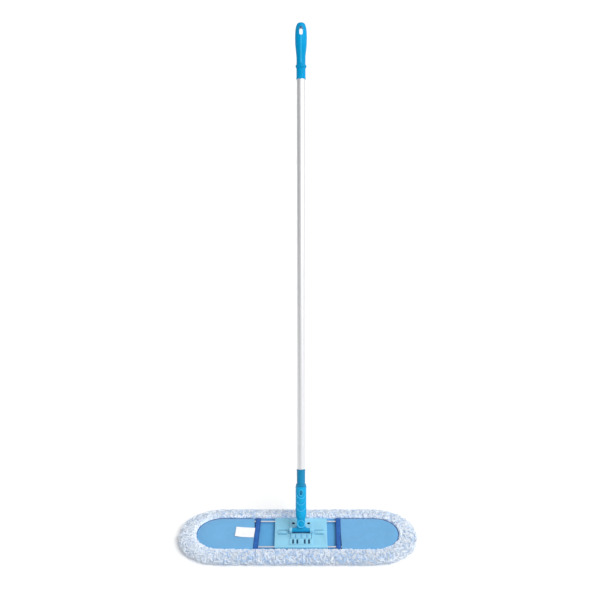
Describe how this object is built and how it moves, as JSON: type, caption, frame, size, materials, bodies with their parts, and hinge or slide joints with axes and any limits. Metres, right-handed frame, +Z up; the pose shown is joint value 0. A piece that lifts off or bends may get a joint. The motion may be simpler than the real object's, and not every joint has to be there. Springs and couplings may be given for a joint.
{
  "type": "flat mop",
  "caption": "Flat dust mop with a swivelling aluminium handle, a folding wire frame and a pocketed yarn cover.",
  "frame": {"origin": "centre of the hanging hole in the grip, where the mop is held", "axes": "+Z up from the floor, +X to the right along the head, +Y rearward, the way the handle leans"},
  "size_m": [0.65, 0.7812, 1.249],
  "materials": {
    "grip_plastic": "glossy moulded",
    "adapter_plastic": "semi-gloss moulded",
    "socket_plastic": "semi-gloss moulded",
    "plate_plastic": "satin moulded",
    "spring_steel": "bright",
    "tube_aluminium": "satin drawn",
    "canvas": "plain weave",
    "binding_tape": "twill tape",
    "label_tape": "smooth woven tape",
    "yarn": "soft cut yarn"
  },
  "bodies": {
    "handle": {"grip": "grip_plastic", "handle_tube": "tube_aluminium", "tube_adapter": "adapter_plastic", "handle_socket": "socket_plastic", "snap_button_spring": "spring_steel"},
    "snap_button": {"snap_button": "adapter_plastic"},
    "swivel": {"swivel_cross_bar": "socket_plastic", "pivot_pin": "spring_steel"},
    "plate": {"base_plate": "plate_plastic", "swivel_housing": "plate_plastic", "lean_axle": "spring_steel", "spring_strap": "plate_plastic", "bearing_cheek_left": "plate_plastic", "bearing_cheek_right": "plate_plastic", "housing_screw_left": "spring_steel", "housing_screw_right": "spring_steel", "pedal_spring_left": "spring_steel", "pedal_spring_right": "spring_steel", "backing_middle": "canvas", "pile_middle": "yarn", "fringe_front_middle": "yarn", "fringe_rear_middle": "yarn"},
    "release_pedal": {"release_pedal": "plate_plastic"},
    "release_rod_left": {"release_rod_left": "spring_steel"},
    "release_rod_right": {"release_rod_right": "spring_steel"},
    "left_wing": {"frame_wire_left": "spring_steel", "hinge_barrel_left": "spring_steel", "backing_left": "canvas", "pile_left": "yarn", "fringe_left": "yarn", "pocket_left": "canvas", "binding_left": "binding_tape", "pocket_label": "label_tape"},
    "right_wing": {"frame_wire_right": "spring_steel", "hinge_barrel_right": "spring_steel", "backing_right": "canvas", "pile_right": "yarn", "fringe_right": "yarn", "pocket_right": "canvas", "binding_right": "binding_tape"}
  },
  "joints": [
    {"name": "button_press", "type": "slide", "parent": "handle", "child": "snap_button", "axis": [0, 0.8746, -0.4848], "range_m": [0, 0.0035], "stiffness_N_per_m": 400, "springref_m": -0.003, "deforming": ["snap_button_spring"]},
    {"name": "handle_tilt", "type": "hinge", "parent": "handle", "child": "swivel", "pos_m": [0, -0.65105, -1.17453], "axis": [0, 0.8746, -0.4848], "range_deg": [-72, 72]},
    {"name": "handle_lean", "type": "hinge", "parent": "swivel", "child": "plate", "pos_m": [0, -0.65978, -1.19027], "axis": [1, 0, 0], "range_deg": [-101, 43]},
    {"name": "pedal_press", "type": "slide", "parent": "plate", "child": "release_pedal", "axis": [0, 0, -1], "range_m": [0, 0.003], "stiffness_N_per_m": 1500, "springref_m": -0.002, "deforming": ["pedal_spring_left", "pedal_spring_right"]},
    {"name": "rod_left_push", "type": "slide", "parent": "plate", "child": "release_rod_left", "axis": [-1, 0, 0], "range_m": [0, 0.003]},
    {"name": "rod_right_push", "type": "slide", "parent": "plate", "child": "release_rod_right", "axis": [1, 0, 0], "range_m": [0, 0.003]},
    {"name": "fold_left", "type": "hinge", "parent": "plate", "child": "left_wing", "pos_m": [-0.06, -0.65978, -1.20557], "axis": [0, -1, 0], "range_deg": [0, 75], "deforming": ["backing_middle", "pile_middle", "fringe_front_middle", "fringe_rear_middle"]},
    {"name": "fold_right", "type": "hinge", "parent": "plate", "child": "right_wing", "pos_m": [0.06, -0.65978, -1.20557], "axis": [0, 1, 0], "range_deg": [0, 75], "deforming": ["backing_middle", "pile_middle", "fringe_front_middle", "fringe_rear_middle"]}
  ],
  "couplings": [
    {"joint": "rod_left_push", "follows": "pedal_press", "ratio": 1},
    {"joint": "rod_right_push", "follows": "pedal_press", "ratio": 1}
  ]
}
